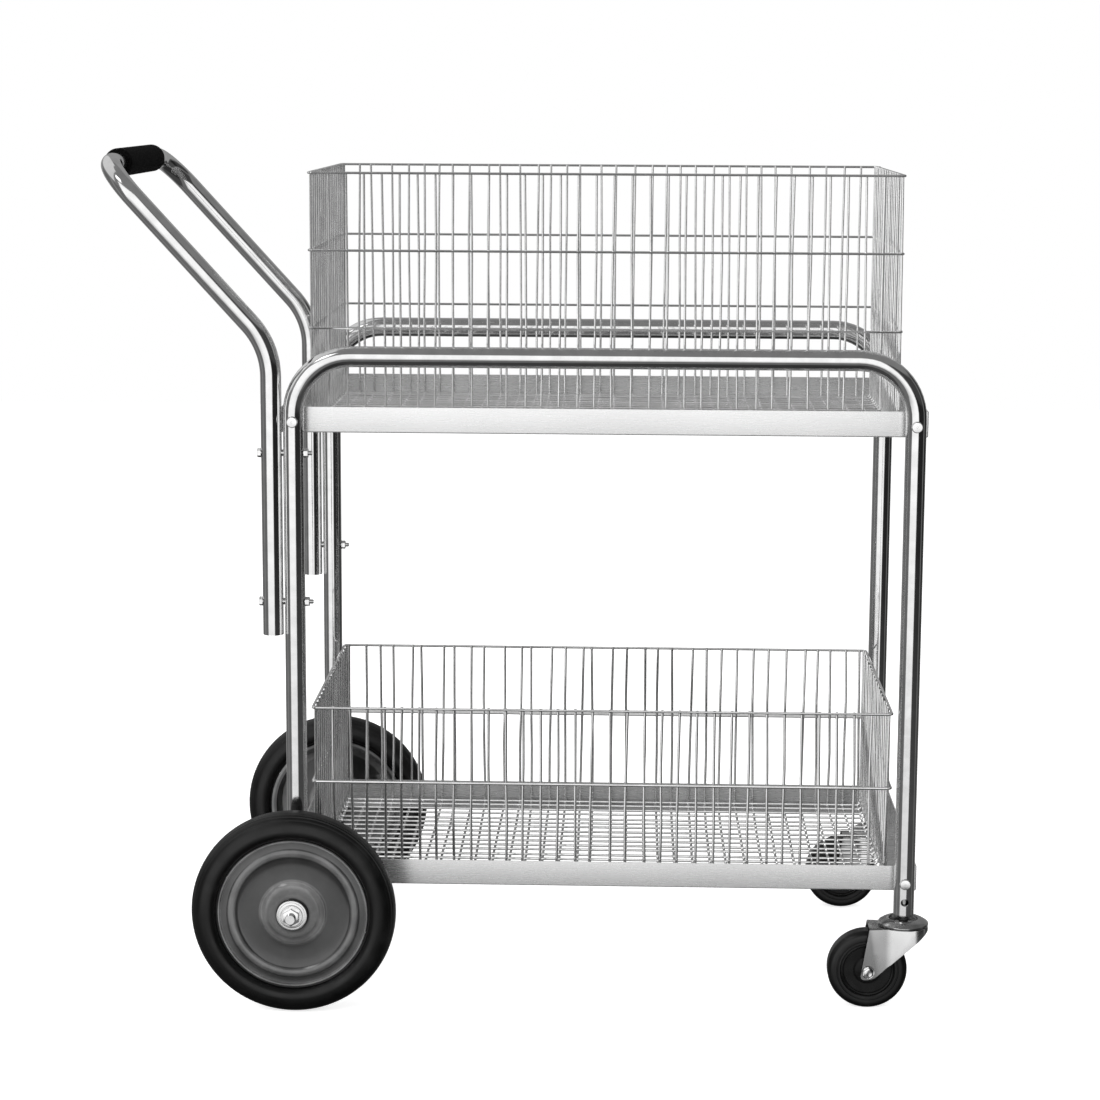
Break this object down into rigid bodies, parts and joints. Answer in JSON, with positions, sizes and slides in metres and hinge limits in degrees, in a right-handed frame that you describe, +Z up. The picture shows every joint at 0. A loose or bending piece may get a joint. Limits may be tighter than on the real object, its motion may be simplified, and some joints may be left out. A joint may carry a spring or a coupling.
{
  "type": "mail cart",
  "caption": "Two-basket mail cart on a bent chrome tube frame, with a push handle, large rear wheels on an axle and swivel casters in front.",
  "frame": {"origin": "on the floor, under the middle of the overall length and width", "axes": "+X the way the cart is pushed, +Y its left side, +Z up"},
  "size_m": [1.0272, 0.5704, 1.0543],
  "materials": {
    "chrome_tube": "polished chrome plate",
    "tray_sheet": "satin zinc plate",
    "basket_wire": "bright plated wire",
    "zinc_fastener": "bright zinc plate",
    "tyre_rubber": "semi-matt moulded rubber",
    "hub_paint": "gloss grey paint",
    "caster_plastic": "moulded black",
    "grip_foam": "matt closed-cell foam"
  },
  "bodies": {
    "root": {"side_frame_right": "chrome_tube", "side_frame_left": "chrome_tube", "push_handle": "chrome_tube", "upper_tray": "tray_sheet", "lower_tray": "tray_sheet", "foam_grip": "grip_foam", "upper_basket_right_wall": "basket_wire", "upper_basket_left_wall": "basket_wire", "upper_basket_rear_wall": "basket_wire", "upper_basket_front_wall": "basket_wire", "upper_basket_floor_cross_wires": "basket_wire", "upper_basket_floor_long_wires": "basket_wire", "lower_basket_right_wall": "basket_wire", "lower_basket_left_wall": "basket_wire", "lower_basket_rear_wall": "basket_wire", "lower_basket_front_wall": "basket_wire", "lower_basket_floor_cross_wires": "basket_wire", "lower_basket_floor_long_wires": "basket_wire", "upper_basket_hoop_1": "basket_wire", "upper_basket_hoop_2": "basket_wire", "lower_basket_hoop_1": "basket_wire", "upper_tray_bolt_rear_right": "zinc_fastener", "upper_tray_bolt_front_right": "zinc_fastener", "upper_tray_bolt_rear_left": "zinc_fastener", "upper_tray_bolt_front_left": "zinc_fastener", "lower_tray_bolt_rear_right": "zinc_fastener", "lower_tray_bolt_front_right": "zinc_fastener", "lower_tray_bolt_rear_left": "zinc_fastener", "lower_tray_bolt_front_left": "zinc_fastener", "handle_bolt_right_1": "zinc_fastener", "handle_bolt_right_2": "zinc_fastener", "handle_bolt_left_1": "zinc_fastener", "handle_bolt_left_2": "zinc_fastener", "handle_spacer_right_1": "zinc_fastener", "handle_spacer_right_2": "zinc_fastener", "handle_spacer_left_1": "zinc_fastener", "handle_spacer_left_2": "zinc_fastener", "rear_axle": "zinc_fastener", "axle_nut_right": "zinc_fastener", "axle_nut_left": "zinc_fastener", "caster_stem_right": "zinc_fastener", "caster_stem_left": "zinc_fastener"},
    "rear_wheel_right": {"rear_tyre_right": "tyre_rubber", "rear_hub_right": "hub_paint"},
    "caster_swivel_right": {"caster_fork_right": "tray_sheet", "caster_axle_right": "zinc_fastener"},
    "caster_wheel_right": {"caster_hub_right": "caster_plastic", "caster_tyre_right": "tyre_rubber"},
    "rear_wheel_left": {"rear_tyre_left": "tyre_rubber", "rear_hub_left": "hub_paint"},
    "caster_swivel_left": {"caster_fork_left": "tray_sheet", "caster_axle_left": "zinc_fastener"},
    "caster_wheel_left": {"caster_hub_left": "caster_plastic", "caster_tyre_left": "tyre_rubber"}
  },
  "joints": [
    {"name": "rear_wheel_right_spin", "type": "hinge", "parent": "root", "child": "rear_wheel_right", "pos_m": [-0.27137, -0.247, 0.1262], "axis": [0, 1, 0], "continuous": true},
    {"name": "caster_right_turn", "type": "hinge", "parent": "root", "child": "caster_swivel_right", "pos_m": [0.48263, -0.203, 0.104], "axis": [0, 0, 1], "continuous": true},
    {"name": "caster_wheel_right_spin", "type": "hinge", "parent": "caster_swivel_right", "child": "caster_wheel_right", "pos_m": [0.43863, -0.203, 0.04938], "axis": [0, 1, 0], "continuous": true},
    {"name": "rear_wheel_left_spin", "type": "hinge", "parent": "root", "child": "rear_wheel_left", "pos_m": [-0.27137, 0.247, 0.1262], "axis": [0, 1, 0], "continuous": true},
    {"name": "caster_left_turn", "type": "hinge", "parent": "root", "child": "caster_swivel_left", "pos_m": [0.48263, 0.203, 0.104], "axis": [0, 0, 1], "continuous": true},
    {"name": "caster_wheel_left_spin", "type": "hinge", "parent": "caster_swivel_left", "child": "caster_wheel_left", "pos_m": [0.43863, 0.203, 0.04938], "axis": [0, 1, 0], "continuous": true}
  ]
}
